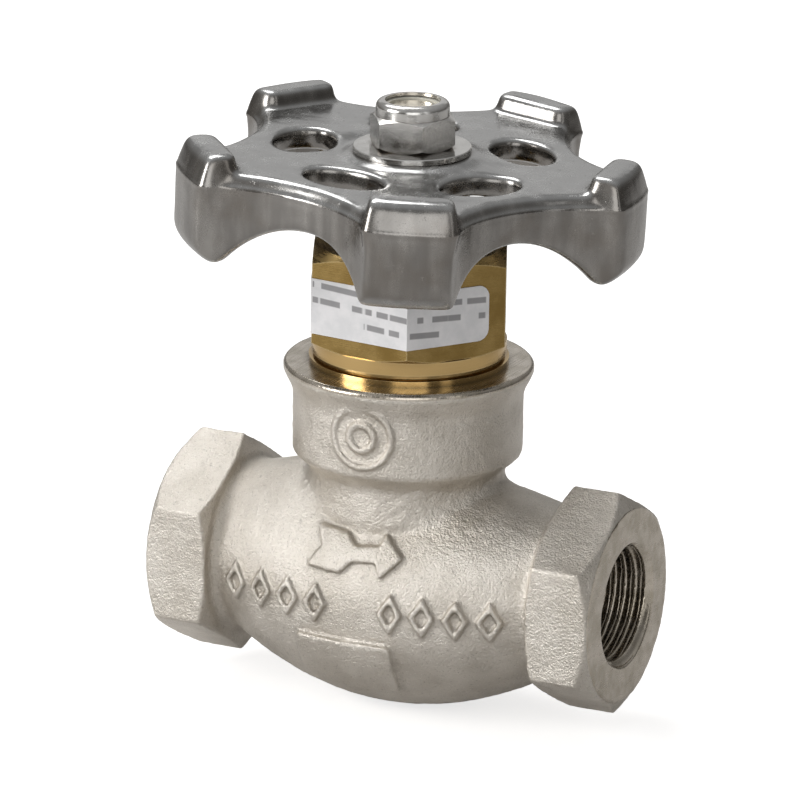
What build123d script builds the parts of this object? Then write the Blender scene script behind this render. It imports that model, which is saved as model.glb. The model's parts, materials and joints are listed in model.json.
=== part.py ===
from build123d import *
import os
from math import cos, radians, sin, sqrt, tan

# Globe valve, 1/2 inch threaded ends, spring-loaded packing, rising stem and handwheel.
# Millimetres, +Z up. The stem axis is Z and the pipe axis lies along X, with flow towards +X.
# The pieces are drawn with the pipe axis at height zero, then lifted by PIPE_Z, which puts the
# origin on the stem axis, level with the lowest point of the body. The valve is drawn closed.

os.makedirs("parts", exist_ok=True)

# Standard sizes
PIPE_PITCH = 25.4 / 14            # 1/2-14 taper pipe thread
PIPE_MINOR_R = 9.16               # tap-drill wall, and where the real crests are at the mouth
PIPE_THREAD_DEPTH = 1.2           # the real thread is 1.45 deep
PORT_DEPTH = 14.0                 # drilled depth of a port
PORT_PLAIN_LENGTH = 3.0           # drilled wall left plain behind the thread
PIPE_CREST_R = 9.36               # not a standard size: opened 0.2 to part the crests from the drilled wall
PORT_CHAMFER = 1.3
STEM_PITCH = 25.4 / 12            # stem drive thread, 12 per inch
STEM_THREAD_R = 7.94
BONNET_PITCH = 25.4 / 16
TOP_THREAD_PITCH = 25.4 / 24      # 5/16-24 end of the stem
TOP_THREAD_R = 3.95

# Fits
RUN = 0.05                        # radial clearance of parts that turn or slide
THREAD_GAP = 0.04                 # male crest to the plain female bore

# Body
HEX_AF = 33.34                    # 1-5/16 in. wrench hexagon
FACE_X = 40.5                     # end face to centre
HEX_BACK_X = 29.3                 # where the flats of the hexagon begin
HEX_CHAMFER_X = 2.0               # length of the corner chamfer at the end face
HEX_FACE_R = 16.2                 # circle left on the end face by the chamfer
HEX_BACK_CHAMFER_X = 1.1
BELLY_R = 20.2                    # belly section radius at the centre
BELLY_END_R = 15.0                # belly section radius at BELLY_HALF
BELLY_HALF = 26.0
BELLY_DROP = 2.2                  # how far the belly hangs below the pipe axis
PIPE_Z = BELLY_R + BELLY_DROP     # height of the pipe axis above the lowest point
NECK_R = 15.8
NECK_FILLET = 1.2
ROOT_FILLET = 1.5                 # where the belly runs into the back of a hexagon
COLLAR_R = 19.15
COLLAR_BOTTOM_Z = 21.4
LIP_R = 20.8
BODY_TOP_Z = 36.7
SOCKET_R = 14.29                  # bonnet socket
SOCKET_BOTTOM_Z = 19.0
CHAMBER_R = 12.0                  # chamber above the seat
CHAMBER_FLOOR_Z = 3.4
SEAT_Z = 4.5
SEAT_BORE_R = 6.35
SEAT_OUTER_R = 8.4
LOWER_CHAMBER_R = 8.5
PASSAGE_R = 6.3
MARK_RAISE = 0.95                 # height of the cast marks
EMBLEM_RAISE = 0.65

# Bonnet
BONNET_AF = 31.75                 # 1-1/4 in. hexagon
BONNET_HEX_TURN = -66.0           # direction of one corner of the bonnet hexagon
BONNET_HEX_Z = 40.7
BONNET_TOP_Z = 57.0
GASKET_THICKNESS = 1.0
STEM_ROOM_R = 9.6                 # lower bore that takes the raised disc holder
STEM_ROOM_TOP_Z = 27.0
BACKSEAT_Z = 40.6                 # shoulder that stops the open stem
BOX_FLOOR_Z = 43.0                # floor of the packing box
BOX_R = 7.9
GLAND_R = 8.75
GLAND_BOTTOM_Z = 52.9

# Stem and disc
JOURNAL_R = 4.76                  # 3/8 in. stem
BUTTON_R = 4.9
BUTTON_Z = 13.05
BUTTON_TOP_Z = 15.55
STEM_NECK_R = 3.3
THREAD_BOTTOM_Z = 20.5
THREAD_TOP_Z = 33.0
DRIVE_AF = 8.0                    # square for the handwheel
DRIVE_Z = 60.6
STEM_TOP_Z = 80.0
HOLDER_R = 9.2
HOLDER_TOP_Z = 19.0
DISC_R = 8.25
DISC_BOTTOM_Z = SEAT_Z + RUN
DISC_TOP_Z = 8.0

# Handwheel
LUGS = 5
WHEEL_TURN = -65.2                # direction of one lug
WHEEL_R = 39.0
WEB_TOP_Z = 71.5
WEB_THICKNESS = 3.8
RIM_THICKNESS = 3.0
SKIRT_BOTTOM_Z = 56.6
PARTING_Z = 69.6                  # die parting line round the rim
PARTING_STEP = 0.4                # the upper half is this much smaller
RIM_DRAFT = 20                    # slope of the rim above the parting line, degrees
SIDE_BOTTOM_Z = 58.8              # where the side of a foot starts to round in
TIP_R = 36.6                      # bottom edge of a foot
SHOULDER_R = 37.4                 # top edge of a lug
LUG_TOP_Z = 74.4
LUG_WIDTH = 15.6
LUG_DRAFT = 13
LUG_CORNER_R = 2.6
LUG_INNER_R = 31.2
FOOT_WIDTH = 15.4
FOOT_DRAFT = 8
FOOT_DEPTH = 7.2
SCALLOP_R = 26.66
SCALLOP_FLOOR_R = 28.8
ARCH_R = 18.0                     # arched underside between two feet
ARCH_TOP_Z = 64.2
HUB_R = 9.0
BOSS_R = 10.6
BOSS_TOP_Z = 72.2
WHEEL_HOLE_R = 18.9               # circle of the hole centres
HOLE_DEPTH = 10.0                 # oval holes, measured towards the hub
HOLE_WIDTH = 14.6

# Washer and lock nut
WASHER_R = 9.8
WASHER_THICKNESS = 1.1
NUT_AF = 12.7                     # 1/2 in.
NUT_HEX_HEIGHT = 5.3
NUT_HEIGHT = 7.7
NUT_TURN = -52.0

# Rating label
LABEL_BOTTOM_Z = 43.5
LABEL_HEIGHT = 9.4
LABEL_THICKNESS = 0.15
LABEL_CORNER_R = 2.0
LABEL_RIGHT = 6.0                 # reach past the middle of its right-hand side
LABEL_LEFT = 2.5                  # reach past the middle of its left-hand side

ON_BASE = (Align.CENTER, Align.CENTER, Align.MIN)
ON_LEFT = (Align.MIN, Align.CENTER)


def outline(points, rounds=()):
    """Face in the plane's own axes from straight sides, with some corners rounded."""
    face = make_face(Polyline(*points, close=True))
    for corner, radius in rounds:
        nearest = face.vertices().sort_by_distance(corner)[0]
        face = fillet(nearest, radius)
    return face


def turned(points, rounds=()):
    """Solid turned about the stem axis from (radius, height) points."""
    return revolve(Plane.XZ * outline(points, rounds), axis=Axis.Z)


def turned_about_pipe(points, rounds=()):
    """Solid turned about the pipe axis from (distance along X, radius) points."""
    return revolve(outline(points, rounds), axis=Axis.X)


def ring(inner_r, outer_r, bottom_z, top_z, edge=0.15):
    """Flat ring about the stem axis with its outer edges broken."""
    points = [(inner_r, bottom_z), (outer_r - edge, bottom_z), (outer_r, bottom_z + edge),
              (outer_r, top_z - edge), (outer_r - edge, top_z), (inner_r, top_z)]
    return turned(points)


def rod(radius, bottom_z, top_z):
    """Upright cylinder about the stem axis."""
    return Pos(0, 0, bottom_z) * Cylinder(radius, top_z - bottom_z, align=ON_BASE)


def rod_between(radius, start, end):
    """Cylinder from one point to another."""
    direction = Vector(*end) - Vector(*start)
    plane = Plane(origin=start, z_dir=direction)
    return plane * Cylinder(radius, direction.length, align=ON_BASE)


def hex_bar(across_flats, bottom_z, top_z, turn):
    """Upright hexagonal bar with one corner in the direction turn."""
    section = RegularPolygon(across_flats / sqrt(3), 6, rotation=turn)
    return Pos(0, 0, bottom_z) * extrude(section, top_z - bottom_z)


def thread_groove(pitch, root_r, bottom_z, height, depth, outward=False):
    """Helical cutter for a 60 degree thread. It cuts inwards from a crest, or outwards from a bore."""
    side = 1 if outward else -1
    over = 0.3
    slope = tan(radians(30))
    mouth = pitch * 0.44 + over * slope
    tip = mouth - (depth + over) * slope
    helix = Helix(pitch=pitch, height=height, radius=root_r, center=(0, 0, bottom_z))
    section_plane = Plane(origin=helix @ 0, x_dir=(1, 0, 0), z_dir=helix % 0)
    section = section_plane * Polygon((-side * over, -mouth), (side * depth, -tip), (side * depth, tip),
                                      (-side * over, mouth), align=None)
    return sweep(section, path=helix, is_frenet=True)


# ---- valve body ------------------------------------------------------------------------------

def belly(grow=0.0):
    """Barrel of the body: round sections that swell and hang low in the middle."""
    stations = [-31, -24, -16, -8, 0, 8, 16, 24, 31]
    sections = []
    for x in stations:
        share = (x / BELLY_HALF) ** 2
        radius = BELLY_R - (BELLY_R - BELLY_END_R) * share + grow
        centre_z = -BELLY_DROP * (1 - share)
        sections.append(Plane(origin=(x, 0, centre_z), x_dir=(0, 1, 0), z_dir=(1, 0, 0)) * Circle(radius))
    return loft(sections)


def end_hexagon(side):
    """Wrench hexagon of one end, corners up and down, chamfered towards the end face."""
    corner_r = HEX_AF / sqrt(3)
    length = FACE_X - HEX_BACK_X
    bar = Plane.YZ.offset(HEX_BACK_X) * extrude(RegularPolygon(corner_r, 6, rotation=30), length)
    cone = turned_about_pipe([(HEX_BACK_X, 0), (HEX_BACK_X, HEX_AF / 2),
                              (HEX_BACK_X + HEX_BACK_CHAMFER_X, corner_r),
                              (FACE_X - HEX_CHAMFER_X, corner_r), (FACE_X, HEX_FACE_R), (FACE_X, 0)])
    end = bar & cone
    return end if side > 0 else Rot(0, 0, 180) * end


def neck_and_collar():
    """Neck with the round collar above it and the flared lip that the bonnet seats on."""
    points = [(0, 0), (NECK_R, 0), (NECK_R, COLLAR_BOTTOM_Z - 2.6), (COLLAR_R, COLLAR_BOTTOM_Z),
              (COLLAR_R, 32.0), (LIP_R, 35.3), (LIP_R, BODY_TOP_Z - 0.5), (LIP_R - 0.5, BODY_TOP_Z),
              (0, BODY_TOP_Z)]
    rounds = [((NECK_R, COLLAR_BOTTOM_Z - 2.6), 1.2), ((COLLAR_R, COLLAR_BOTTOM_Z), 1.2),
              ((COLLAR_R, 32.0), 5.0)]
    return turned(points, rounds)


def arrow_face():
    """Flow arrow with a feathered tail, drawn in the XZ plane."""
    points = [(-8.8, 11.2), (-7.0, 8.3), (-9.2, 5.0), (-3.0, 4.5), (-0.9, 6.6), (3.3, 6.9), (4.3, 4.5),
              (7.8, 8.1), (3.8, 11.4), (3.2, 9.4), (-0.9, 9.0), (-3.0, 10.9)]
    return outline(points)


def cast_marks():
    """Raised marks on the front of the belly: arrow, plain pad and two rows of open lozenges."""
    pad = Pos(-2.2, -11.6) * RectangleRounded(17.6, 9.4, 1.0)
    lozenge = Polygon((2.2, 0), (0, 3.6), (-2.2, 0), (0, -3.6), align=None)
    open_lozenge = lozenge - scale(lozenge, 0.55)
    flats = [arrow_face(), pad]
    for first_x in (-23.6, 6.6):
        for count in range(4):
            flats.append(Pos(first_x + count * 5.5, -1.0) * open_lozenge)
    grown = belly(MARK_RAISE)
    return [extrude(Plane.XZ * face, 30) & grown for face in flats]


def collar_emblem():
    """Plain double ring cast on the front of the collar."""
    rings = Circle(5.6) - Circle(4.7) + Circle(2.7) - Circle(1.7)
    plane = Plane(origin=(0, 0, 28.4), x_dir=(1, 0, 0), z_dir=(0, -1, 0))
    skin = rod(COLLAR_R + EMBLEM_RAISE, COLLAR_BOTTOM_Z, BODY_TOP_Z)
    return Rot(0, 0, 2) * (extrude(plane * rings, 30) & skin)


def port_cut(side):
    """Tapped port of one end: drilled wall, helical thread, mouth chamfer and cone to the passage."""
    drill_x = FACE_X - PORT_DEPTH
    thread_x = drill_x + PORT_PLAIN_LENGTH
    bore = turned_about_pipe([(drill_x - 2.4, 0), (drill_x - 2.4, PASSAGE_R), (drill_x, PIPE_MINOR_R),
                              (thread_x, PIPE_MINOR_R), (thread_x + 0.2, PIPE_CREST_R),
                              (FACE_X - PORT_CHAMFER, PIPE_CREST_R), (FACE_X, PIPE_CREST_R + PORT_CHAMFER),
                              (FACE_X + 1, PIPE_CREST_R + 2.3), (FACE_X + 1, 0)])
    groove = thread_groove(PIPE_PITCH, PIPE_CREST_R, thread_x + 1.4,
                           FACE_X - thread_x + 1.0, PIPE_THREAD_DEPTH, outward=True)
    groove = Rot(0, 90, 0) * groove
    turn = Rot(0, 0, 0 if side > 0 else 180)
    return turn * bore, turn * groove


def make_valve_body():
    """Cast body: belly, ends, neck and collar outside; seat, partition and passages inside."""
    outside = belly() + neck_and_collar()
    neck_edge = outside.edges().filter_by(GeomType.BSPLINE).sort_by(Axis.Z)[-1]
    outside = fillet(neck_edge, NECK_FILLET)
    outside = outside + end_hexagon(1) + end_hexagon(-1)
    root_edges = [edge for edge in outside.edges()
                  if abs(abs(edge.center().X) - HEX_BACK_X) < 0.05 and edge.length > 60]
    outside = fillet(root_edges, ROOT_FILLET)
    for mark in cast_marks():
        outside = outside + mark
    outside = outside + collar_emblem()
    socket = rod(SOCKET_R, SOCKET_BOTTOM_Z, BODY_TOP_Z + 1)
    chamber = rod(CHAMBER_R, CHAMBER_FLOOR_Z, SOCKET_BOTTOM_Z)
    chamber = fillet(chamber.edges().group_by(Axis.Z)[0], 1.5)
    seat = ring(SEAT_BORE_R, SEAT_OUTER_R, CHAMBER_FLOOR_Z - 1, SEAT_Z, edge=0.5)
    seat_bore = rod(SEAT_BORE_R, -8, SEAT_Z + 1)
    lower = Pos(-1, 0, -8) * Sphere(LOWER_CHAMBER_R)
    inlet = rod_between(PASSAGE_R, (-29, 0, 0.3), (-2, 0, -8))
    outlet = rod_between(PASSAGE_R, (28.5, 0, 0), (9, 0, 10.7))
    inside = chamber - seat + seat_bore + lower + inlet + outlet + socket
    body = outside - inside
    for side in (1, -1):
        bore, groove = port_cut(side)
        body = body - bore - groove
    return body


def make_bonnet_gasket():
    return ring(CHAMBER_R + 0.2, SOCKET_R - 0.1, SOCKET_BOTTOM_Z, SOCKET_BOTTOM_Z + GASKET_THICKNESS)


# ---- bonnet and packing ----------------------------------------------------------------------

def make_bonnet():
    """Brass bonnet: threaded shank, turned rings, wrench hexagon and packing box."""
    bottom_z = SOCKET_BOTTOM_Z + GASKET_THICKNESS
    shank_r = SOCKET_R - THREAD_GAP
    relief_r = shank_r - 1.1
    outer = turned([(0, bottom_z), (shank_r - 0.8, bottom_z), (shank_r, bottom_z + 0.8),
                    (shank_r, BODY_TOP_Z - 2.2), (relief_r, BODY_TOP_Z - 1.6), (relief_r, BODY_TOP_Z),
                    (16.6, BODY_TOP_Z), (16.6, 37.7), (15.7, 37.9), (15.7, 38.3), (16.2, 38.5),
                    (16.2, BONNET_HEX_Z), (0, BONNET_HEX_Z)])
    outer = outer - thread_groove(BONNET_PITCH, shank_r, bottom_z - 1, 14.6, 0.95)
    corner_r = BONNET_AF / sqrt(3)
    chamfer_z = (corner_r - 15.4) * tan(radians(30))
    hexagon = hex_bar(BONNET_AF, BONNET_HEX_Z, BONNET_TOP_Z, BONNET_HEX_TURN)
    hexagon = hexagon & turned([(0, BONNET_HEX_Z), (16.2, BONNET_HEX_Z), (corner_r, BONNET_HEX_Z + 1.1),
                                (corner_r, BONNET_TOP_Z - chamfer_z), (15.4, BONNET_TOP_Z),
                                (0, BONNET_TOP_Z)])
    thread_bore_r = STEM_THREAD_R + THREAD_GAP
    gland_floor_z = GLAND_BOTTOM_Z - 0.3
    bore = turned([(0, bottom_z - 1), (STEM_ROOM_R, bottom_z - 1), (STEM_ROOM_R, STEM_ROOM_TOP_Z),
                   (thread_bore_r, STEM_ROOM_TOP_Z + 1), (thread_bore_r, BACKSEAT_Z),
                   (JOURNAL_R + RUN, BACKSEAT_Z), (JOURNAL_R + RUN, BOX_FLOOR_Z), (BOX_R, BOX_FLOOR_Z),
                   (BOX_R, gland_floor_z), (GLAND_R, gland_floor_z), (GLAND_R, BONNET_TOP_Z + 1),
                   (0, BONNET_TOP_Z + 1)])
    return outer + hexagon - bore


def make_packing_base_washer():
    return ring(JOURNAL_R + RUN, BOX_R - RUN, BOX_FLOOR_Z, BOX_FLOOR_Z + 0.8)


def make_packing_spring():
    """Three open coils of round wire between the base washer and the follower."""
    wire_r = 0.55
    coil_r = 6.4
    bottom_z = BOX_FLOOR_Z + 0.8 + wire_r + 0.02
    height = 4.0 - 2 * wire_r - 0.04
    helix = Helix(pitch=height / 2.0, height=height, radius=coil_r, center=(0, 0, bottom_z))
    section = Plane(origin=helix @ 0, z_dir=helix % 0) * Circle(wire_r)
    return sweep(section, path=helix, is_frenet=True)


def make_packing_follower():
    return ring(JOURNAL_R + RUN, BOX_R - RUN, BOX_FLOOR_Z + 4.8, BOX_FLOOR_Z + 5.6)


def chevron(bottom_z, thickness, rise):
    """Ring with a V section that opens downwards."""
    inner = JOURNAL_R + RUN
    outer = BOX_R - RUN
    middle = (inner + outer) / 2
    return turned([(inner, bottom_z), (middle, bottom_z + rise), (outer, bottom_z),
                   (outer, bottom_z + thickness), (middle, bottom_z + thickness + rise),
                   (inner, bottom_z + thickness)])


def make_bottom_adapter():
    """Flat-bottomed ring with a peaked top that spreads the packing."""
    inner = JOURNAL_R + RUN
    outer = BOX_R - RUN
    bottom_z = BOX_FLOOR_Z + 5.6
    return turned([(inner, bottom_z), (outer, bottom_z), (outer, bottom_z + 0.5),
                   ((inner + outer) / 2, bottom_z + 1.2), (inner, bottom_z + 0.5)])


def make_packing_rings():
    first_z = BOX_FLOOR_Z + 6.1
    return Compound([chevron(first_z + count * 0.8, 0.78, 0.7) for count in range(3)])


def make_top_adapter():
    """Ring with a grooved underside that closes the packing stack."""
    inner = JOURNAL_R + RUN
    outer = BOX_R - RUN
    bottom_z = BOX_FLOOR_Z + 8.5
    return turned([(inner, bottom_z), ((inner + outer) / 2, bottom_z + 0.7), (outer, bottom_z),
                   (outer, GLAND_BOTTOM_Z - 0.3), (inner, GLAND_BOTTOM_Z - 0.3)])


def make_packing_nut():
    """Hexagonal gland nut with a groove for the stem wiper."""
    head_af = 19.05
    head_top_z = BONNET_TOP_Z + 2.6
    barrel = rod(GLAND_R - THREAD_GAP, GLAND_BOTTOM_Z - 0.3, BONNET_TOP_Z)
    head = hex_bar(head_af, BONNET_TOP_Z, head_top_z, BONNET_HEX_TURN)
    chamfer_r = head_af / 2 + 2
    head = head & turned([(0, BONNET_TOP_Z), (chamfer_r, BONNET_TOP_Z), (chamfer_r, head_top_z - 1.2),
                          (head_af / 2 - 0.3, head_top_z), (0, head_top_z)])
    bore = rod(JOURNAL_R + RUN, BOX_FLOOR_Z, head_top_z + 1)
    groove = rod(JOURNAL_R + 1.6, head_top_z - 2.1, head_top_z - 0.4)
    return barrel + head - bore - groove


def make_stem_wiper():
    """Ring of round rubber cord in the gland nut's groove."""
    cord_r = 0.72
    centre_z = BONNET_TOP_Z + 2.6 - 1.25
    return Pos(0, 0, centre_z) * Torus(JOURNAL_R + RUN + cord_r, cord_r)


def label_window(angle, low, high):
    """Round-cornered window over the side of the hexagon that faces the direction angle."""
    facing = Plane(origin=(0, 0, LABEL_BOTTOM_Z + LABEL_HEIGHT / 2),
                   x_dir=(-sin(radians(angle)), cos(radians(angle)), 0),
                   z_dir=(cos(radians(angle)), sin(radians(angle)), 0))
    window = Pos((low + high) / 2, 0) * RectangleRounded(high - low, LABEL_HEIGHT, LABEL_CORNER_R)
    return extrude(facing * window, BONNET_AF)


def make_rating_label():
    """Thin label wrapped over three sides of the bonnet hexagon, with round corners at its ends."""
    top_z = LABEL_BOTTOM_Z + LABEL_HEIGHT
    skin = hex_bar(BONNET_AF + 2 * LABEL_THICKNESS, LABEL_BOTTOM_Z, top_z, BONNET_HEX_TURN)
    skin = skin - hex_bar(BONNET_AF, LABEL_BOTTOM_Z - 1, top_z + 1, BONNET_HEX_TURN)
    past_corner = BONNET_AF * 0.4
    windows = label_window(BONNET_HEX_TURN + 30, -past_corner, LABEL_RIGHT)
    windows = windows + label_window(BONNET_HEX_TURN - 30, -past_corner, past_corner)
    windows = windows + label_window(BONNET_HEX_TURN - 90, -LABEL_LEFT, past_corner)
    return skin & windows


# ---- stem and disc ---------------------------------------------------------------------------

def make_stem():
    """Stem: swivel button, drive thread, journal, milled square and threaded top."""
    shaft = turned([(0, BUTTON_Z), (BUTTON_R - 0.6, BUTTON_Z), (BUTTON_R, BUTTON_Z + 0.6),
                    (BUTTON_R, BUTTON_TOP_Z), (STEM_NECK_R, BUTTON_TOP_Z), (STEM_NECK_R, THREAD_BOTTOM_Z),
                    (STEM_THREAD_R - 1.2, THREAD_BOTTOM_Z), (STEM_THREAD_R, THREAD_BOTTOM_Z + 1.0),
                    (STEM_THREAD_R, THREAD_TOP_Z - 1.0), (STEM_THREAD_R - 1.2, THREAD_TOP_Z),
                    (JOURNAL_R, THREAD_TOP_Z), (JOURNAL_R, BOSS_TOP_Z - 0.4),
                    (TOP_THREAD_R, BOSS_TOP_Z - 0.4), (TOP_THREAD_R, STEM_TOP_Z - 0.6),
                    (TOP_THREAD_R - 0.6, STEM_TOP_Z), (0, STEM_TOP_Z)])
    for quarter in range(4):
        flat = Pos(DRIVE_AF / 2 + 5, 0, DRIVE_Z + 10) * Box(10, 20, 20)
        shaft = shaft - Rot(0, 0, WHEEL_TURN + 90 * quarter) * flat
    thread_height = THREAD_TOP_Z - THREAD_BOTTOM_Z
    drive_groove = thread_groove(STEM_PITCH, STEM_THREAD_R, THREAD_BOTTOM_Z - 2, thread_height + 4, 1.25)
    top_groove = thread_groove(TOP_THREAD_PITCH, TOP_THREAD_R, BOSS_TOP_Z + 0.8, 8.5, 0.6)
    return shaft - drive_groove - top_groove


def make_backseat_washer():
    return ring(JOURNAL_R + 0.04, 6.6, THREAD_TOP_Z, THREAD_TOP_Z + 1.2)


def make_disc_holder():
    """Cup that carries the seat disc below and swivels on the stem button above."""
    outer = turned([(0, DISC_TOP_Z - 2.4), (HOLDER_R - 0.4, DISC_TOP_Z - 2.4), (HOLDER_R, DISC_TOP_Z - 2.0),
                    (HOLDER_R, HOLDER_TOP_Z - 0.8), (HOLDER_R - 0.8, HOLDER_TOP_Z), (0, HOLDER_TOP_Z)])
    pocket = rod(DISC_R + 0.02, DISC_TOP_Z - 4, DISC_TOP_Z)
    screw_hole = rod(2.1, DISC_TOP_Z - 1, 12.0)
    button_room = rod(BUTTON_R + RUN, BUTTON_Z - RUN, HOLDER_TOP_Z)
    nut_room = rod(7.0, BUTTON_TOP_Z + RUN, HOLDER_TOP_Z + 1)
    return outer - pocket - screw_hole - button_room - nut_room


def make_swivel_nut():
    """Slotted ring screwed into the disc holder over the stem button."""
    nut = ring(STEM_NECK_R + RUN, 6.98, BUTTON_TOP_Z + RUN, HOLDER_TOP_Z)
    slot = Pos(0, 0, HOLDER_TOP_Z) * Box(16, 1.6, 1.6)
    return nut - slot


def make_seat_disc():
    return ring(2.15, DISC_R, DISC_BOTTOM_Z, DISC_TOP_Z, edge=0.3)


def make_disc_washer():
    return ring(2.15, 5.2, DISC_BOTTOM_Z - 1.0, DISC_BOTTOM_Z)


def make_disc_screw():
    """Slotted screw that holds the seat disc up into its holder."""
    head_top_z = DISC_BOTTOM_Z - 1.0
    head = ring(0, 3.4, head_top_z - 2.0, head_top_z, edge=0.3)
    shank = rod(2.08, head_top_z, 11.6)
    slot = Pos(0, 0, head_top_z - 2.0) * Box(8, 0.9, 1.8)
    return head + shank - slot


# ---- handwheel -------------------------------------------------------------------------------

def star(grow=0.0):
    """Wheel outline: a circle with one round scallop between each pair of lugs."""
    shape = Circle(WHEEL_R + grow)
    for count in range(LUGS):
        scallop = Pos(SCALLOP_FLOOR_R + SCALLOP_R, 0) * Circle(SCALLOP_R - grow)
        shape = shape - Rot(0, 0, (count + 0.5) * 360 / LUGS) * scallop
    return shape


def wheel_lug():
    """One lug on the side +X: the hammer block above the parting line and the foot below it."""
    outer_r = WHEEL_R + 0.3
    block_base = RectangleRounded(outer_r - LUG_INNER_R, LUG_WIDTH, LUG_CORNER_R, align=ON_LEFT)
    foot_base = RectangleRounded(FOOT_DEPTH, FOOT_WIDTH, LUG_CORNER_R, align=ON_LEFT)
    block = extrude(block_base, LUG_TOP_Z - PARTING_Z + 1, taper=LUG_DRAFT)
    foot = extrude(foot_base, SKIRT_BOTTOM_Z - PARTING_Z - 1, taper=FOOT_DRAFT)
    return Pos(LUG_INNER_R, 0, PARTING_Z) * block + Pos(outer_r - FOOT_DEPTH, 0, PARTING_Z) * foot


def wheel_envelope():
    """Turned shape that rounds the outside of the lugs and feet."""
    tip = (TIP_R, SKIRT_BOTTOM_Z)
    lower_side = (WHEEL_R, SIDE_BOTTOM_Z)
    upper_side = (WHEEL_R, PARTING_Z)
    shoulder = (SHOULDER_R, LUG_TOP_Z)
    return turned([(0, SKIRT_BOTTOM_Z), tip, lower_side, upper_side, shoulder, (0, LUG_TOP_Z)],
                  rounds=[(lower_side, 4.0), (tip, 1.9), (upper_side, 8.0), (shoulder, 1.8)])


def make_handwheel():
    """Five-lug die-cast wheel: scalloped rim, flat web with five holes, hub and hammer lugs."""
    step = 360 / LUGS
    web_bottom_z = WEB_TOP_Z - WEB_THICKNESS
    rim = Pos(0, 0, SKIRT_BOTTOM_Z) * extrude(star(), PARTING_Z - SKIRT_BOTTOM_Z)
    top = Pos(0, 0, PARTING_Z) * extrude(star(-PARTING_STEP), WEB_TOP_Z - PARTING_Z, taper=RIM_DRAFT)
    hollow = Pos(0, 0, SKIRT_BOTTOM_Z - 1) * extrude(star(-RIM_THICKNESS), web_bottom_z - SKIRT_BOTTOM_Z + 1)
    wheel = rim - hollow + top
    for count in range(LUGS):
        wheel = wheel + Rot(0, 0, count * step) * wheel_lug()
    arch_axis_z = ARCH_TOP_Z - ARCH_R
    for count in range(LUGS):
        arch = rod_between(ARCH_R, (WHEEL_R / 2, 0, arch_axis_z), (WHEEL_R + 5, 0, arch_axis_z))
        wheel = wheel - Rot(0, 0, (count + 0.5) * step) * arch
    wheel = wheel & wheel_envelope()
    hub = turned([(0, DRIVE_Z), (HUB_R - 0.5, DRIVE_Z), (HUB_R, DRIVE_Z + 0.5),
                  (HUB_R + 0.6, web_bottom_z - 2), (HUB_R + 3.0, web_bottom_z), (HUB_R + 3.0, WEB_TOP_Z),
                  (BOSS_R, BOSS_TOP_Z), (0, BOSS_TOP_Z)])
    wheel = wheel + hub
    for count in range(LUGS):
        hole = Pos(WHEEL_HOLE_R, 0, web_bottom_z - 3) * extrude(Ellipse(HOLE_DEPTH / 2, HOLE_WIDTH / 2), 8)
        wheel = wheel - Rot(0, 0, (count + 0.5) * step) * hole
    bore = rod(JOURNAL_R + RUN, DRIVE_Z - 1, BOSS_TOP_Z + 1)
    bore = bore & (Pos(0, 0, DRIVE_Z + 5) * Box(DRIVE_AF + RUN, DRIVE_AF + RUN, 20))
    return Rot(0, 0, WHEEL_TURN) * (wheel - bore)


def make_wheel_washer():
    return ring(TOP_THREAD_R + 0.15, WASHER_R, BOSS_TOP_Z, BOSS_TOP_Z + WASHER_THICKNESS)


def make_locknut_shell():
    """Hexagonal nut with a rounded crown that grips the nylon insert."""
    bottom_z = BOSS_TOP_Z + WASHER_THICKNESS
    hex_top_z = bottom_z + NUT_HEX_HEIGHT
    top_z = bottom_z + NUT_HEIGHT
    corner_r = NUT_AF / sqrt(3)
    hexagon = hex_bar(NUT_AF, bottom_z, hex_top_z, NUT_TURN)
    chamfer = (corner_r - NUT_AF / 2) * tan(radians(30)) + 0.1
    hexagon = hexagon & turned([(0, bottom_z), (NUT_AF / 2, bottom_z), (corner_r, bottom_z + chamfer),
                                (corner_r, hex_top_z - chamfer), (NUT_AF / 2 - 0.1, hex_top_z),
                                (0, hex_top_z)])
    crown = turned([(0, hex_top_z), (6.1, hex_top_z), (6.1, top_z), (0, top_z)], rounds=[((6.1, top_z), 1.1)])
    bore = turned([(0, bottom_z - 1), (TOP_THREAD_R + 0.02, bottom_z - 1), (TOP_THREAD_R + 0.02, top_z - 2.9),
                   (5.2, top_z - 2.9), (5.2, top_z - 0.7), (4.6, top_z - 0.5), (4.6, top_z + 1),
                   (0, top_z + 1)])
    return hexagon + crown - bore


def make_locknut_insert():
    top_z = BOSS_TOP_Z + WASHER_THICKNESS + NUT_HEIGHT - 0.75
    return ring(TOP_THREAD_R + 0.02, 5.18, top_z - 2.1, top_z, edge=0.1)


PIECES = {
    "valve_body": make_valve_body,
    "bonnet_gasket": make_bonnet_gasket,
    "bonnet": make_bonnet,
    "packing_base_washer": make_packing_base_washer,
    "packing_spring": make_packing_spring,
    "packing_follower": make_packing_follower,
    "packing_bottom_adapter": make_bottom_adapter,
    "packing_rings": make_packing_rings,
    "packing_top_adapter": make_top_adapter,
    "packing_nut": make_packing_nut,
    "stem_wiper": make_stem_wiper,
    "rating_label": make_rating_label,
    "stem": make_stem,
    "backseat_washer": make_backseat_washer,
    "disc_holder": make_disc_holder,
    "swivel_nut": make_swivel_nut,
    "seat_disc": make_seat_disc,
    "disc_washer": make_disc_washer,
    "disc_screw": make_disc_screw,
    "handwheel": make_handwheel,
    "wheel_washer": make_wheel_washer,
    "locknut_shell": make_locknut_shell,
    "locknut_insert": make_locknut_insert,
}

for name, make in PIECES.items():
    export_step(Pos(0, 0, PIPE_Z) * make(), f"parts/{name}.step")
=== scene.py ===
"""Looks of the globe valve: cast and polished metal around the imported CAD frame."""
import json
import math

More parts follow.
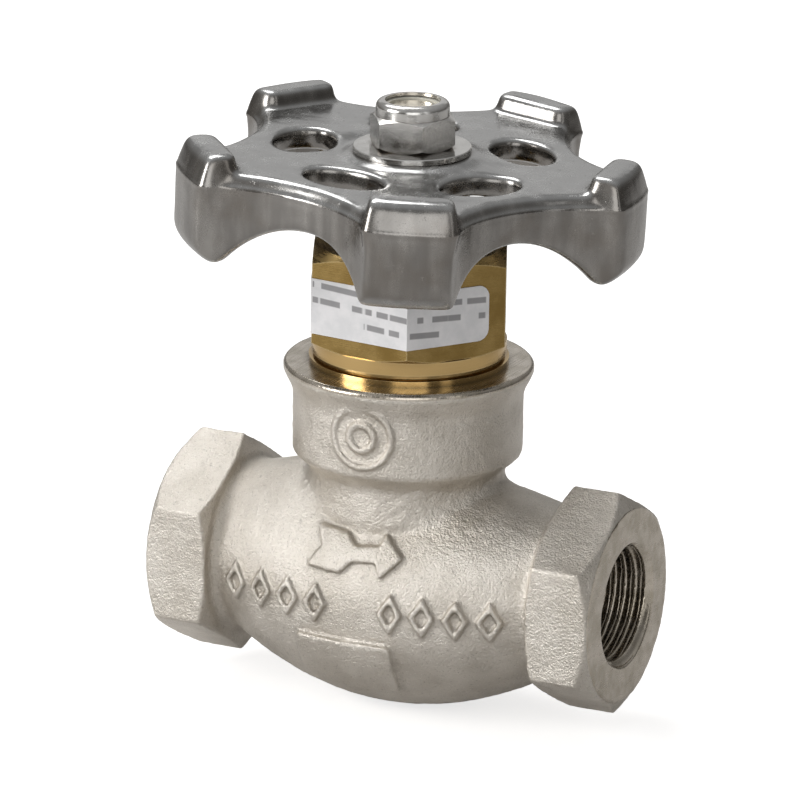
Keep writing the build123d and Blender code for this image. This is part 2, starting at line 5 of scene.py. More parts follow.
import bpy
import numpy as np
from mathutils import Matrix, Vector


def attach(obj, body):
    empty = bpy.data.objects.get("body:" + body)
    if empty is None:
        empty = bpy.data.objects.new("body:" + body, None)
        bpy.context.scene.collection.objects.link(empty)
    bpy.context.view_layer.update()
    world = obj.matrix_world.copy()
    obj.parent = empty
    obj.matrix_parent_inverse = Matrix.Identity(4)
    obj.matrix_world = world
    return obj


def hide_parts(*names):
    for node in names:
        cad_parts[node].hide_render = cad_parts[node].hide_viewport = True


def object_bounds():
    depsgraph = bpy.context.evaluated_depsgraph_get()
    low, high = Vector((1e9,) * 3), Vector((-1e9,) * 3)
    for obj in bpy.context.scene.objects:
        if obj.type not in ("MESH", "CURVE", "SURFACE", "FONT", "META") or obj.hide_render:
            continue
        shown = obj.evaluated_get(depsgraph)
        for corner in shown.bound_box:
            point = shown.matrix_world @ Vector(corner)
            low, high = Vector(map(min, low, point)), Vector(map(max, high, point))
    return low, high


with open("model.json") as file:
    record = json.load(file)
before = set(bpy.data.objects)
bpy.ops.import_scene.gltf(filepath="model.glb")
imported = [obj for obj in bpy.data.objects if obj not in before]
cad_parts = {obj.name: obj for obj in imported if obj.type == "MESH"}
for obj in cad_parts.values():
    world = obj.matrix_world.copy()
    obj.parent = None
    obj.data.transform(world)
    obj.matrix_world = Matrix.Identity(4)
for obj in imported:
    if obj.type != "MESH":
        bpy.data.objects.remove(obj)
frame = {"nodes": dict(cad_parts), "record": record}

import openvdb
from mathutils import Matrix, Vector

CAD_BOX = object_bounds()
MM = 0.001
MOUNTS = {mount["name"]: mount for mount in frame["record"]["mounts"]}
PIPE_Z = MOUNTS["outlet_port"]["pos_m"][2] / MM     # height of the pipe axis above the frame's origin
FACE_X = MOUNTS["outlet_face"]["pos_m"][0] / MM     # end face of the body

# Lengths are in millimetres, and heights count from the pipe axis, unless a comment says otherwise
BODY_VOXEL = 0.26
WHEEL_VOXEL = 0.28
BAND_VOXELS = 6             # half width of the distance band around a surface, in voxels
BODY_EDGE_BLUR = 0.22
NECK_FILLET_BLUR = 1.5
WHEEL_EDGE_BLUR = 0.6
BLUR_REGAIN = 0.1           # a blur draws rounded walls in, so they are grown by this

# Where the body is machined: above LIP_Z, and in the ports outside PORT_X and inside PORT_R
LIP_Z = 35.8
PORT_X = 25.0
PORT_R = 10.8               # from the pipe axis

# Where the neck under the collar is softened: between these heights and distances from the stem axis
NECK_LOW_Z = 11.0
NECK_HIGH_Z = 20.5
NECK_INNER_R = 13.5
NECK_OUTER_R = 25.0

PARTING_Z = 69.6            # parting line of the handwheel
PARTING_RIDGE = 0.16
RIM_INNER_R = 26.0          # the parting ridge shows outside this radius
WHEEL_BORE_R = 6.0          # the wheel is left as cut inside this radius
WHEEL_LEAN = 2.7            # degrees about Y, for the rim
LEAN_Z = 66.0               # height of the point about which the rim leans
SQUARE_R = 10.5             # the hub stays square inside this radius
LEANING_R = 17.0            # the wheel leans in full outside this radius
BRASS_RING_Z = 40.7         # top of the round ring under the bonnet hexagon


# ---- castings: level sets of the CAD solids, softened -----------------------------------------

def soup_of(node):
    """Corner points in millimetres and triangles of a CAD node."""
    mesh = frame["nodes"][node].data
    mesh.calc_loop_triangles()
    points = np.zeros(len(mesh.vertices) * 3, np.float32)
    mesh.vertices.foreach_get("co", points)
    triangles = np.zeros(len(mesh.loop_triangles) * 3, np.int32)
    mesh.loop_triangles.foreach_get("vertices", triangles)
    return points.reshape(-1, 3) / MM, triangles.reshape(-1, 3)


class Field:
    """Dense signed distance to a solid, in millimetres, negative inside. z counts from the pipe axis."""

    def __init__(self, node, voxel):
        points, triangles = soup_of(node)
        self.voxel = voxel
        self.transform = openvdb.createLinearTransform(voxelSize=voxel)
        grid = openvdb.FloatGrid.createLevelSetFromPolygons(
            points, triangles=triangles, transform=self.transform, halfWidth=BAND_VOXELS)
        low, high = grid.evalActiveVoxelBoundingBox()
        self.low = tuple(int(c) - 2 for c in low)
        shape = tuple(int(high[k]) + 3 - self.low[k] for k in range(3))
        self.values = np.zeros(shape, np.float32)
        grid.copyToArray(self.values, ijk=self.low)
        axes = [(np.arange(shape[k], dtype=np.float32) + self.low[k]) * voxel for k in range(3)]
        self.x = axes[0][:, None, None]
        self.y = axes[1][None, :, None]
        self.z = axes[2][None, None, :] - PIPE_Z

    def softened(self, sigma):
        """The same field blurred, which rounds edges and fills corners by about sigma millimetres."""
        return blurred(self.values, sigma / self.voxel)

    def surface(self):
        """Points in metres and quads of the zero surface."""
        grid = openvdb.FloatGrid(BAND_VOXELS * self.voxel)
        grid.copyFromArray(self.values, ijk=self.low)
        grid.transform = self.transform
        grid.gridClass = openvdb.GridClass.LEVEL_SET
        points, quads = grid.convertToQuads(isovalue=0)
        return points * MM, quads[:, ::-1]


def blurred(values, sigma):
    """Separable Gaussian blur, sigma in cells."""
    reach = int(math.ceil(sigma * 2.5))
    weights = np.exp(-0.5 * (np.arange(reach + 1) / sigma) ** 2)
    weights = (weights / (weights[0] + 2 * weights[1:].sum())).astype(np.float32)
    for axis in range(3):
        total = values * weights[0]
        for step in range(1, reach + 1):
            total += weights[step] * (np.roll(values, step, axis) + np.roll(values, -step, axis))
        values = total
    return values


def ramp(values, low, high):
    """Smooth 0 to 1 as values go from low to high."""
    t = np.clip((values - low) / (high - low), 0, 1)
    return t * t * (3 - 2 * t)


def grain(shape, sigma, seed):
    """Random field of unit spread whose bumps are about sigma cells wide."""
    noise = np.random.default_rng(seed).standard_normal(shape, dtype=np.float32)
    noise = blurred(noise, sigma)
    return noise / noise.std()


def mesh_object(name, points, faces):
    """Smooth shaded object from points in metres and faces that all have the same number of corners."""
    mesh = bpy.data.meshes.new(name)
    mesh.vertices.add(len(points))
    mesh.vertices.foreach_set("co", np.asarray(points, np.float32).ravel())
    sides = faces.shape[1]
    mesh.loops.add(faces.size)
    mesh.loops.foreach_set("vertex_index", np.asarray(faces, np.int32).ravel())
    mesh.polygons.add(len(faces))
    mesh.polygons.foreach_set("loop_start", np.arange(0, faces.size, sides, dtype=np.int32))
    mesh.update(calc_edges=True)
    mesh.validate()
    mesh.shade_smooth()
    obj = bpy.data.objects.new(name, mesh)
    bpy.context.scene.collection.objects.link(obj)
    return obj


def cast_body():
    """Body casting: soft edges, a full fillet at the neck, and blasted skin outside the machined faces."""
    field = Field("valve_body", BODY_VOXEL)
    from_pipe = np.sqrt(field.y ** 2 + field.z ** 2)
    from_stem = np.sqrt(field.x ** 2 + field.y ** 2)
    ports = ramp(np.abs(field.x), PORT_X - 0.5, PORT_X + 0.5) * (1 - ramp(from_pipe, PORT_R, PORT_R + 1.0))
    lip = ramp(field.z, LIP_Z - 0.6, LIP_Z)
    machined = np.maximum(ports, lip)
    neck = (ramp(field.z, NECK_LOW_Z, NECK_LOW_Z + 2.5) * (1 - ramp(field.z, NECK_HIGH_Z - 1.5, NECK_HIGH_Z))
            * ramp(from_stem, NECK_INNER_R, NECK_INNER_R + 1.5)
            * (1 - ramp(from_stem, NECK_OUTER_R - 4.0, NECK_OUTER_R)))
    soft = field.softened(BODY_EDGE_BLUR)
    wide = field.softened(NECK_FILLET_BLUR)
    cast = soft * (1 - neck) + (wide - BLUR_REGAIN) * neck
    fine_skin = 0.020 * grain(cast.shape, 1.1, 7)
    coarse_skin = 0.014 * grain(cast.shape, 5.0, 8)
    skin = fine_skin + coarse_skin
    cast = cast + skin
    field.values = field.values * machined + cast * (1 - machined)
    return mesh_object("cast_body", *field.surface())


def cast_wheel():
    """Handwheel casting: tumbled edges, a die parting ridge, and a rim that runs a little out of true."""
    field = Field("handwheel", WHEEL_VOXEL)
    from_stem = np.sqrt(field.x ** 2 + field.y ** 2)
    bore = 1 - ramp(from_stem, WHEEL_BORE_R, WHEEL_BORE_R + 1.0)
    soft = field.softened(WHEEL_EDGE_BLUR)
    ridge = PARTING_RIDGE * np.exp(-0.5 * ((field.z - PARTING_Z) / 0.26) ** 2)
    ridge = ridge * ramp(from_stem, RIM_INNER_R, RIM_INNER_R + 2.0)
    lumps = 0.035 * grain(soft.shape, 9.0, 21)
    field.values = field.values * bore + (soft - BLUR_REGAIN - ridge + lumps) * (1 - bore)
    points, faces = field.surface()
    return mesh_object("cast_wheel", out_of_true(points), faces)


def out_of_true(points):
    """Leans the rim by WHEEL_LEAN about the hub, and leaves the hub itself square."""
    centre = np.array((0, 0, (PIPE_Z + LEAN_Z) * MM))
    place = points - centre
    share = ramp(np.hypot(place[:, 0], place[:, 1]), SQUARE_R * MM, LEANING_R * MM)
    turn = math.tan(math.radians(WHEEL_LEAN)) * share
    leaned = place.copy()
    leaned[:, 0] += turn * place[:, 2]
    leaned[:, 2] -= turn * place[:, 0]
    return leaned + centre


body = cast_body()
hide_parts("valve_body")
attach(body, "valve")

wheel = cast_wheel()
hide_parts("handwheel")
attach(wheel, "spindle")


# ---- materials --------------------------------------------------------------------------------

# The label is read from LABEL_AZIMUTH, and its rows climb to the left by LABEL_SLOPE.
# A row is its bottom, its top, and its left and right ends
LABEL_AZIMUTH = math.radians(25)
LABEL_RIGHT = Vector((math.cos(LABEL_AZIMUTH), math.sin(LABEL_AZIMUTH), 0))
LABEL_SLOPE = 0.055
LABEL_ROWS = ((50.5, 51.7, -16, 12.6), (47.9, 49.1, -16, 12.6), (45.3, 46.5, -7.5, 5.0))
INK_EDGE = 0.2              # width over which a printed bar fades out


class Nodes:
    """Small helper that adds and links shader nodes."""

    def __init__(self, name):
        self.material = bpy.data.materials.new(name)
        self.material.use_nodes = True
        self.tree = self.material.node_tree
        self.tree.nodes.clear()
        self.shader = self.add("ShaderNodeBsdfPrincipled")
        output = self.add("ShaderNodeOutputMaterial")
        self.link(self.shader.outputs[0], output.inputs["Surface"])
        self.place = self.add("ShaderNodeTexCoord").outputs["Object"]

    def coordinates(self):
        """The point's x, y and z in metres, from the frame's origin."""
        parts = self.add("ShaderNodeSeparateXYZ")
        self.link(self.place, parts.inputs[0])
        return parts.outputs

    def above_pipe(self, z):
        """Height over the pipe axis, in metres."""
        return self.math("SUBTRACT", z, PIPE_Z * MM)

    def add(self, kind, **settings):
        node = self.tree.nodes.new(kind)
        for key, value in settings.items():
            setattr(node, key, value)
        return node

    def link(self, source, target):
        self.tree.links.new(source, target)

    def put(self, target, value):
        """Sets an input to a number, a colour or another node's output."""
        if isinstance(value, bpy.types.NodeSocket):
            self.link(value, target)
        else:
            target.default_value = value

    def noise(self, size_mm, detail=2.0, rough=0.5, stretch=(1, 1, 1)):
        """Noise from 0 to 1 whose features are about size_mm across."""
        mapping = self.add("ShaderNodeMapping")
        mapping.inputs["Scale"].default_value = stretch
        self.link(self.place, mapping.inputs["Vector"])
        node = self.add("ShaderNodeTexNoise")
        node.inputs["Scale"].default_value = 1 / (size_mm * MM)
        node.inputs["Detail"].default_value = detail
        node.inputs["Roughness"].default_value = rough
        self.link(mapping.outputs[0], node.inputs["Vector"])
        return node.outputs["Fac"]

    def math(self, operation, a, b=0.0):
        node = self.add("ShaderNodeMath", operation=operation)
        self.put(node.inputs[0], a)
        self.put(node.inputs[1], b)
        return node.outputs[0]

    def range(self, value, low, high, out_low=0.0, out_high=1.0):
        """Goes smoothly from out_low to out_high as value goes from low to high. low may be the larger."""
        node = self.add("ShaderNodeMapRange", interpolation_type="SMOOTHSTEP")
        self.put(node.inputs["Value"], value)
        self.put(node.inputs["From Min"], low)
        self.put(node.inputs["From Max"], high)
        self.put(node.inputs["To Min"], out_low)
        self.put(node.inputs["To Max"], out_high)
        return node.outputs[0]

    def mix(self, share, a, b):
        """Colour a where share is 0 and b where it is 1."""
        node = self.add("ShaderNodeMix", data_type="RGBA")
        self.put(node.inputs[0], share)
        self.put(node.inputs[6], a)
        self.put(node.inputs[7], b)
        return node.outputs[2]

    def bump(self, height, depth_mm, strength, under=None):
        """Normal roughened by height, on top of the normal under."""
        node = self.add("ShaderNodeBump")
        node.inputs["Strength"].default_value = strength
        node.inputs["Distance"].default_value = depth_mm * MM
        self.link(height, node.inputs["Height"])
        if under is not None:
            self.link(under, node.inputs["Normal"])
        return node.outputs[0]

    def edge_wear_and_highlight(self, radius_mm):
        """1 on sharp outer edges, 0 on flats, from how far a bevelled normal leans. Callers lighten these
        edges, partly as wear and partly as a painted highlight.
        """
        bevel = self.add("ShaderNodeBevel", samples=4)
        bevel.inputs["Radius"].default_value = radius_mm * MM
        geometry = self.add("ShaderNodeNewGeometry")
        dot = self.add("ShaderNodeVectorMath", operation="DOT_PRODUCT")
        self.link(bevel.outputs[0], dot.inputs[0])
        self.link(geometry.outputs["Normal"], dot.inputs[1])
        return self.range(dot.outputs["Value"], 0.995, 0.90)

    def crevices(self, reach_mm):
        """0 in tight corners, 1 in the open. Callers darken tight corners with it: painted shade, with some
        grime.
        """
        occlusion = self.add("ShaderNodeAmbientOcclusion", samples=4)
        occlusion.inputs["Distance"].default_value = reach_mm * MM
        return occlusion.outputs["AO"]

    def finish(self, colour, roughness, normal=None, metallic=1.0):
        """Fills the shader in and returns the material."""
        self.put(self.shader.inputs["Base Color"], colour)
        self.put(self.shader.inputs["Roughness"], roughness)
        self.put(self.shader.inputs["Metallic"], metallic)
        if normal is not None:
            self.link(normal, self.shader.inputs["Normal"])
        return self.material


def nickel_casting():
    """Blasted casting under satin nickel plate. The lip, end faces and ports are cut bare and shine."""
    n = Nodes("nickel_casting")
    fine = n.noise(0.36, 3, 0.65)
    medium = n.noise(1.3, 3, 0.6)
    blotch = n.noise(9, 3, 0.55)
    tone = n.mix(n.range(blotch, 0.3, 0.7), (0.62, 0.575, 0.51, 1), (0.76, 0.715, 0.65, 1))
    speck = n.range(fine, 0.42, 0.27)
    tone = n.mix(n.math("MULTIPLY", speck, 0.6), tone, (0.28, 0.25, 0.21, 1))
    sparkle = n.range(fine, 0.58, 0.72)
    tone = n.mix(n.math("MULTIPLY", sparkle, 0.6), tone, (0.96, 0.93, 0.88, 1))
    pits = n.range(medium, 0.36, 0.27)
    tone = n.mix(n.math("MULTIPLY", pits, 0.35), tone, (0.34, 0.31, 0.27, 1))
    # Edges lightened, partly as wear and partly as a painted highlight
    edge = n.edge_wear_and_highlight(0.3)
    tone = n.mix(n.math("MULTIPLY", edge, 0.6), tone, (0.95, 0.92, 0.87, 1))
    # Painted shade: tight corners and crevices darkened from ambient occlusion, with some grime
    crevice_shade_and_grime = n.range(n.crevices(1.3), 0.5, 0.93, 0.85, 0.0)
    tone = n.mix(crevice_shade_and_grime, tone, (0.20, 0.175, 0.14, 1))
    rough = n.math("ADD", n.range(fine, 0.3, 0.7, 0.30, 0.44), n.range(blotch, 0.3, 0.7, -0.03, 0.04))
    normal = n.bump(fine, 0.24, 1.0)
    normal = n.bump(medium, 0.16, 0.6, normal)

    cut = cut_faces(n)
    turned = n.noise(0.5, 2, 0.5, (2.2, 0.08, 0.9))
    stain = n.noise(4, 3, 0.6)
    bare = n.mix(n.range(stain, 0.35, 0.65), (0.50, 0.45, 0.37, 1), (0.66, 0.60, 0.52, 1))
    # Painted shade also darkens the corners and threads of the cut faces
    bare = n.mix(n.math("MULTIPLY", crevice_shade_and_grime, 0.8), bare, (0.10, 0.08, 0.055, 1))
    tone = n.mix(cut, tone, bare)
    rough = n.math("ADD", n.math("MULTIPLY", rough, n.math("SUBTRACT", 1.0, cut)),
                   n.math("MULTIPLY", n.range(turned, 0.3, 0.7, 0.16, 0.30), cut))
    flat = n.bump(turned, 0.02, 0.6)
    blend = n.add("ShaderNodeMix", data_type="VECTOR")
    n.put(blend.inputs[0], cut)
    n.link(normal, blend.inputs[4])
    n.link(flat, blend.inputs[5])
    return n.finish(tone, rough, blend.outputs[1])


def cut_faces(n):
    """1 on the lip top, the end faces and the ports, 0 on the cast skin."""
    x, y, z = n.coordinates()
    along = n.math("ABSOLUTE", x)
    height = n.above_pipe(z)
    square = n.math("ADD", n.math("MULTIPLY", y, y), n.math("MULTIPLY", height, height))
    off_pipe = n.math("SQRT", square)
    outwards = n.range(along, (PORT_X - 0.2) * MM, (PORT_X + 0.2) * MM)
    near_pipe = n.range(off_pipe, (PORT_R + 0.6) * MM, (PORT_R + 0.2) * MM)
    port = n.math("MULTIPLY", outwards, near_pipe)
    face = n.range(along, (FACE_X - 0.2) * MM, (FACE_X - 0.08) * MM)
    lip = n.range(height, (LIP_Z - 0.2) * MM, LIP_Z * MM)
    return n.math("MAXIMUM", port, n.math("MAXIMUM", face, lip))


def polished_aluminium():
    """Tumbled and polished die casting: flow marks, soft waviness, nicks and fine scratches."""
    n = Nodes("polished_aluminium")
    wave = n.noise(6, 2, 0.5)
    flow = n.noise(3.2, 3, 0.5, (1, 1, 0.25))
    stain = n.noise(13, 3, 0.6)
    scratch = n.noise(0.25, 2, 0.6, (1, 0.08, 1))
    nick = n.noise(0.9, 3, 0.6)
    edge = n.edge_wear_and_highlight(0.6)
    geometry = n.add("ShaderNodeNewGeometry")
    facing = n.add("ShaderNodeSeparateXYZ")
    n.link(geometry.outputs["Normal"], facing.inputs[0])
    # Painted shade: faces that turn sideways get a darker copy of the tone of the top faces
    side = n.range(n.math("ABSOLUTE", facing.outputs[2]), 0.75, 0.35)
    top = n.mix(n.range(flow, 0.3, 0.75), (0.42, 0.42, 0.415, 1), (0.50, 0.50, 0.495, 1))
    shaded_wall = n.mix(n.range(flow, 0.3, 0.75), (0.24, 0.23, 0.217, 1), (0.36, 0.346, 0.327, 1))
    shaded_wall = n.mix(n.range(stain, 0.46, 0.70, 0.0, 0.55), shaded_wall, (0.19, 0.165, 0.14, 1))
    tone = n.mix(side, top, shaded_wall)
    # Edges lightened, partly as wear and partly as a painted highlight
    tone = n.mix(n.math("MULTIPLY", edge, 0.5), tone, (0.85, 0.84, 0.82, 1))
    # Painted shade: crevices and corners darkened from ambient occlusion, with some grime
    crevice_shade_and_grime = n.range(n.crevices(2.5), 0.5, 0.97, 0.8, 0.0)
    tone = n.mix(crevice_shade_and_grime, tone, (0.12, 0.11, 0.10, 1))
    rough = n.math("ADD", n.range(flow, 0.3, 0.7, 0.18, 0.28), n.range(scratch, 0.55, 0.75, 0.0, 0.08))
    normal = n.bump(wave, 0.30, 0.6)
    normal = n.bump(n.range(nick, 0.34, 0.26), 0.05, 0.4, normal)
    normal = n.bump(scratch, 0.010, 0.5, normal)
    return n.finish(tone, rough, normal)


def machined_brass():
    """Turned and milled brass with tool marks, a warm patina and bright edges."""
    n = Nodes("machined_brass")
    lathe = n.noise(0.5, 2, 0.5, (0.02, 0.02, 1.6))
    patina = n.noise(6, 4, 0.6)
    edge = n.edge_wear_and_highlight(0.35)
    height = n.above_pipe(n.coordinates()[2])
    bright = n.range(height, (BRASS_RING_Z + 0.3) * MM, (BRASS_RING_Z - 0.1) * MM)
    tone = n.mix(n.range(patina, 0.3, 0.7), (0.26, 0.168, 0.052, 1), (0.38, 0.26, 0.095, 1))
    tone = n.mix(bright, tone, (0.64, 0.44, 0.19, 1))
    # Edges lightened, partly as wear and partly as a painted highlight
    tone = n.mix(n.math("MULTIPLY", edge, 0.6), tone, (0.88, 0.70, 0.38, 1))
    # Painted shade: crevices and corners darkened from ambient occlusion, with some grime
    crevice_shade_and_grime = n.range(n.crevices(2.0), 0.4, 0.95, 0.6, 0.0)
    tone = n.mix(crevice_shade_and_grime, tone, (0.11, 0.066, 0.02, 1))
    rough = n.math("ADD", n.range(lathe, 0.3, 0.7, 0.16, 0.26), n.range(patina, 0.3, 0.7, 0.0, 0.08))
    rough = n.math("SUBTRACT", rough, n.math("MULTIPLY", bright, 0.08))
    normal = n.bump(lathe, 0.015, 0.6)
    return n.finish(tone, rough, normal)


def bright_plate(name, tone_low, tone_high, rough_low, rough_high):
    """Bright plated or turned steel with fine pitting, edges lightened partly by wear and partly as a
    painted highlight, and painted shade in its crevices.
    """
    n = Nodes(name)
    patch = n.noise(2.5, 4, 0.6)
    pit = n.noise(0.3, 2, 0.5)
    edge = n.edge_wear_and_highlight(0.25)
    tone = n.mix(n.range(patch, 0.3, 0.7), tone_low, tone_high)
    # Edges lightened, partly as wear and partly as a painted highlight
    tone = n.mix(n.math("MULTIPLY", edge, 0.5), tone, (0.95, 0.93, 0.90, 1))
    # Painted shade: crevices and corners darkened from ambient occlusion, with some grime
    crevice_shade_and_grime = n.range(n.crevices(1.0), 0.4, 0.95, 0.6, 0.0)
    tone = n.mix(crevice_shade_and_grime, tone, (0.16, 0.13, 0.10, 1))
    rough = n.range(patch, 0.3, 0.7, rough_low, rough_high)
    normal = n.bump(pit, 0.012, 0.6)
    return n.finish(tone, rough, normal)


def plain_plastic(name, low, high, roughness, grain_mm=0.4):
    """Moulded or pressed non-metal with faint mottling and grain."""
    n = Nodes(name)
    mottle = n.noise(2.0, 3, 0.6)
    fine = n.noise(grain_mm, 2, 0.5)
    tone = n.mix(n.range(mottle, 0.3, 0.7), low, high)
    rough = n.range(fine, 0.3, 0.7, roughness - 0.06, roughness + 0.06)
    return n.finish(tone, rough, n.bump(fine, 0.02, 0.5), metallic=0.0)


def printed_label():
    """White film with rows of plain grey bars where words would be."""
    n = Nodes("label_film")
    x, y, z = n.coordinates()
    along = n.math("ADD", n.math("MULTIPLY", x, LABEL_RIGHT.x / MM),
                   n.math("MULTIPLY", y, LABEL_RIGHT.y / MM))
    height = n.math("SUBTRACT", n.math("DIVIDE", z, MM), PIPE_Z)
    height = n.math("ADD", height, n.math("MULTIPLY", along, LABEL_SLOPE))
    ink = 0.0
    for row, (low, high, left, right) in enumerate(LABEL_ROWS):
        over_low = n.range(height, low, low + INK_EDGE)
        under_high = n.range(height, high, high - INK_EDGE)
        tall = n.math("MULTIPLY", over_low, under_high)
        past_left = n.range(along, left, left + INK_EDGE)
        before_right = n.range(along, right, right - INK_EDGE)
        wide = n.math("MULTIPLY", past_left, before_right)
        across = n.add("ShaderNodeCombineXYZ")
        n.link(along, across.inputs[0])
        across.inputs[1].default_value = 7.3 * row
        words = n.add("ShaderNodeTexNoise", noise_dimensions="2D")
        words.inputs["Scale"].default_value = 0.5
        words.inputs["Detail"].default_value = 0
        n.link(across.outputs[0], words.inputs["Vector"])
        printed = n.range(words.outputs["Fac"], 0.36, 0.40)
        ink = n.math("MAXIMUM", ink, n.math("MULTIPLY", n.math("MULTIPLY", tall, wide), printed))
    mottle = n.noise(3.0, 3, 0.6)
    fine = n.noise(0.3, 2, 0.5)
    tone = n.mix(n.range(mottle, 0.3, 0.7), (0.70, 0.70, 0.71, 1), (0.80, 0.79, 0.80, 1))
    tone = n.mix(n.math("MULTIPLY", ink, 0.72), tone, (0.12, 0.115, 0.12, 1))
    # Painted shade: the film's edges and corners darkened from ambient occlusion, with some grime
    crevice_shade_and_grime = n.range(n.crevices(1.2), 0.4, 0.9, 0.5, 0.0)
    tone = n.mix(crevice_shade_and_grime, tone, (0.30, 0.28, 0.25, 1))
    rough = n.range(fine, 0.3, 0.7, 0.30, 0.42)
    return n.finish(tone, rough, n.bump(fine, 0.02, 0.4), metallic=0.0)


NICKEL = nickel_casting()
ALUMINIUM = polished_aluminium()
BRASS = machined_brass()
PLATE = bright_plate("bright_plate", (0.60, 0.59, 0.57, 1), (0.74, 0.73, 0.71, 1), 0.14, 0.26)
STAINLESS = bright_plate("stainless", (0.52, 0.52, 0.53, 1), (0.64, 0.64, 0.65, 1), 0.22, 0.34)
SPRING_WIRE = bright_plate("spring_wire", (0.40, 0.40, 0.41, 1), (0.52, 0.52, 0.53, 1), 0.26, 0.38)
STEM_BRASS = bright_plate("stem_brass", (0.82, 0.75, 0.62, 1), (0.90, 0.84, 0.72, 1), 0.24, 0.36)
WHITE_PTFE = plain_plastic("white_ptfe", (0.80, 0.80, 0.78, 1), (0.88, 0.88, 0.87, 1), 0.40)
NYLON = plain_plastic("nylon", (0.62, 0.60, 0.52, 1), (0.70, 0.68, 0.60, 1), 0.38)
RUBBER = plain_plastic("black_rubber", (0.018, 0.018, 0.019, 1), (0.035, 0.035, 0.036, 1), 0.55)
FIBRE = plain_plastic("pressed_fibre", (0.16, 0.085, 0.055, 1), (0.24, 0.13, 0.09, 1), 0.70, 0.25)
LABEL = printed_label()

FINISHES = {
    "nickel_plated_casting": NICKEL,
    "die_cast_aluminium": ALUMINIUM,
    "brass": BRASS,
    "brass_fittings": BRASS,
    "bright_steel": PLATE,
    "stainless": STAINLESS,
    "spring_steel": SPRING_WIRE,
    "stem_brass": STEM_BRASS,
    "ptfe": WHITE_PTFE,
    "nylon": NYLON,
    "black_rubber": RUBBER,
    "fibre_gasket": FIBRE,
    "label_film": LABEL,
}


def dress(obj, material):
    """Gives obj this one material."""
    obj.data.materials.clear()
    obj.data.materials.append(material)


for entry in frame["record"]["subparts"]:
    dress(frame["nodes"][entry["node"]], FINISHES[entry["material_slot"]])
dress(body, NICKEL)
dress(wheel, ALUMINIUM)


# ---- stage, light and camera, in metres and watts ----------------------------------------------

FLOOR_HALF = 4.0
FLOOR_GAP = 0.3 * MM        # between the belly and the floor
FLOOR_GLOW = 0.70           # makes the floor as white in the picture as the background

# A light is its name, its place, its width, its height and its power. All face LIGHT_TARGET
LIGHT_TARGET = (0, 0, PIPE_Z * MM + 0.03)
LIGHTS = (
    ("key", (-0.70, -0.80, 0.45), 0.50, 0.55, 7.4),
    ("front", (0.50, -1.00, 0.35), 0.8, 0.7, 2.5),
    ("fill", (0.9, -0.35, 0.35), 0.2, 0.8, 0.35),
    ("top", (-0.36, 0.30, 0.85), 0.5, 0.5, 3.7),
    ("rear", (-0.42, 0.95, 0.40), 0.9, 0.35, 0.34),
)

ROOM_LOW = (0.22, 0.205, 0.185, 1)
ROOM_CEILING = (1.0, 1.0, 1.0, 1)
ROOM_LEFT_STRENGTH = 0.55
ROOM_RIGHT_STRENGTH = 0.30

# The camera was fitted to the photo. It looks past the valve's middle by the two aim offsets
CAMERA_AZIMUTH = math.radians(25.19)
CAMERA_ELEVATION = math.radians(17.4)
CAMERA_ROLL = math.radians(-0.9)
CAMERA_DISTANCE = 1.1
CAMERA_LENS = 298.0         # millimetres, on a 36 mm sensor
CAMERA_TARGET = Vector((0, 0, PIPE_Z * MM + 0.025))
AIM_LEFT = 0.00130
AIM_UP = 0.00432


def floor():
    """Large pale floor just under the belly."""
    half = FLOOR_HALF
    z = CAD_BOX[0].z - FLOOR_GAP
    corners = [(-half, -half, z), (half, -half, z), (half, half, z), (-half, half, z)]
    mesh = bpy.data.meshes.new("floor")
    mesh.from_pydata(corners, [], [(0, 1, 2, 3)])
    obj = bpy.data.objects.new("floor", mesh)
    bpy.context.scene.collection.objects.link(obj)
    n = Nodes("pale_floor")
    fine = n.noise(30, 2, 0.5)
    tone = n.mix(fine, (0.60, 0.59, 0.58, 1), (0.64, 0.63, 0.62, 1))
    seen = n.add("ShaderNodeLightPath").outputs["Is Camera Ray"]
    n.put(n.shader.inputs["Emission Color"], (1, 1, 1, 1))
    n.put(n.shader.inputs["Emission Strength"], n.math("MULTIPLY", seen, FLOOR_GLOW))
    dress(obj, n.finish(tone, 0.8, metallic=0.0))


def softbox(name, place, width, height, watts):
    """Rectangular area light that faces LIGHT_TARGET."""
    light = bpy.data.lights.new(name, "AREA")
    light.shape = "RECTANGLE"
    light.size = width
    light.size_y = height
    light.energy = watts
    obj = bpy.data.objects.new(name, light)
    obj.location = place
    direction = Vector(LIGHT_TARGET) - Vector(place)
    obj.rotation_euler = direction.to_track_quat("-Z", "Y").to_euler()
    bpy.context.scene.collection.objects.link(obj)


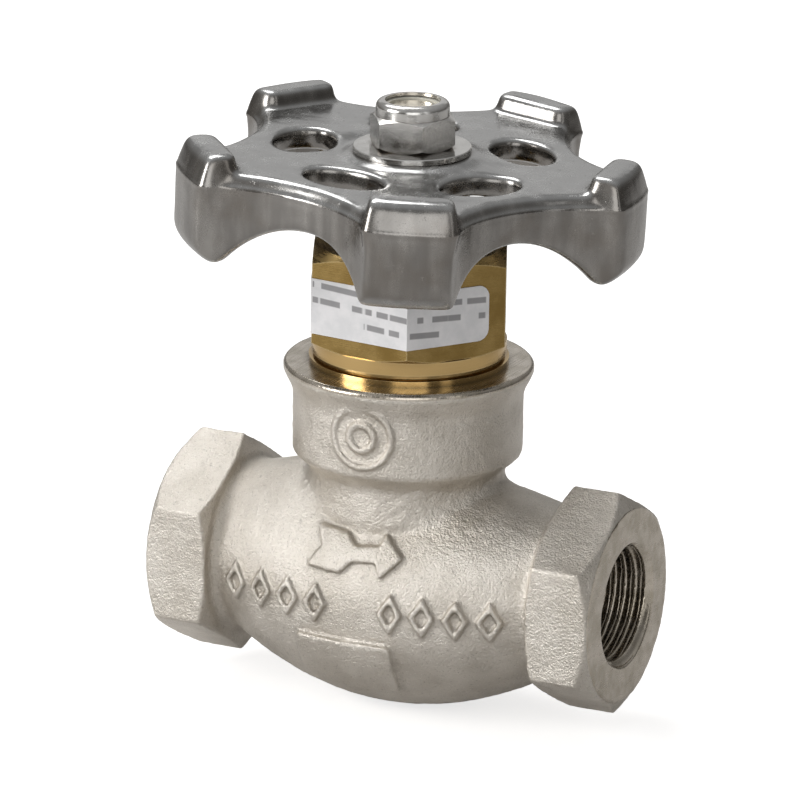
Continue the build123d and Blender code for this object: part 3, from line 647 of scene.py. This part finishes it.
def studio_world():
    """White to the camera. To everything else, a grey room with a bright ceiling, darker on the right."""
    world = bpy.data.worlds.new("studio")
    bpy.context.scene.world = world
    world.use_nodes = True
    tree = world.node_tree
    tree.nodes.clear()
    output = tree.nodes.new("ShaderNodeOutputWorld")
    room = tree.nodes.new("ShaderNodeBackground")
    white = tree.nodes.new("ShaderNodeBackground")
    mix = tree.nodes.new("ShaderNodeMixShader")
    path = tree.nodes.new("ShaderNodeLightPath")
    coords = tree.nodes.new("ShaderNodeTexCoord")
    parts = tree.nodes.new("ShaderNodeSeparateXYZ")
    curve = tree.nodes.new("ShaderNodeValToRGB")
    low, high = curve.color_ramp.elements
    low.position = 0.45
    low.color = ROOM_LOW
    high.position = 0.95
    high.color = ROOM_CEILING
    shift = tree.nodes.new("ShaderNodeMath")
    shift.operation = "MULTIPLY_ADD"
    shift.inputs[1].default_value = 0.5
    shift.inputs[2].default_value = 0.5
    across = tree.nodes.new("ShaderNodeMapRange")
    across.inputs["From Min"].default_value = -1
    across.inputs["To Min"].default_value = ROOM_LEFT_STRENGTH
    across.inputs["To Max"].default_value = ROOM_RIGHT_STRENGTH
    tree.links.new(coords.outputs["Generated"], parts.inputs[0])
    tree.links.new(parts.outputs[2], shift.inputs[0])
    tree.links.new(shift.outputs[0], curve.inputs[0])
    tree.links.new(curve.outputs[0], room.inputs[0])
    tree.links.new(parts.outputs[0], across.inputs["Value"])
    tree.links.new(across.outputs[0], room.inputs[1])
    white.inputs[0].default_value = (1, 1, 1, 1)
    white.inputs[1].default_value = 1.0
    tree.links.new(path.outputs["Is Camera Ray"], mix.inputs[0])
    tree.links.new(room.outputs[0], mix.inputs[1])
    tree.links.new(white.outputs[0], mix.inputs[2])
    tree.links.new(mix.outputs[0], output.inputs[0])


def camera():
    """Long lens, in front and to the right, looking a little down, with a slight roll."""
    level = math.cos(CAMERA_ELEVATION)
    back = Vector((math.sin(CAMERA_AZIMUTH) * level, -math.cos(CAMERA_AZIMUTH) * level,
                   math.sin(CAMERA_ELEVATION)))
    level_right = Vector((math.cos(CAMERA_AZIMUTH), math.sin(CAMERA_AZIMUTH), 0))
    level_up = back.cross(level_right)
    right = level_right * math.cos(CAMERA_ROLL) - level_up * math.sin(CAMERA_ROLL)
    up = level_up * math.cos(CAMERA_ROLL) + level_right * math.sin(CAMERA_ROLL)
    place = CAMERA_TARGET + back * CAMERA_DISTANCE
    aim = CAMERA_TARGET - right * AIM_LEFT + up * AIM_UP
    out = (place - aim).normalized()
    side = up.cross(out).normalized()
    top = out.cross(side)
    data = bpy.data.cameras.new("camera")
    data.lens = CAMERA_LENS
    data.sensor_width = 36
    data.clip_start = 0.01
    obj = bpy.data.objects.new("camera", data)
    obj.matrix_world = Matrix(((side.x, top.x, out.x, place.x), (side.y, top.y, out.y, place.y),
                               (side.z, top.z, out.z, place.z), (0, 0, 0, 1)))
    bpy.context.scene.collection.objects.link(obj)
    bpy.context.scene.camera = obj


floor()
studio_world()
for light_values in LIGHTS:
    softbox(*light_values)
camera()
bpy.context.scene.view_settings.view_transform = "Standard"
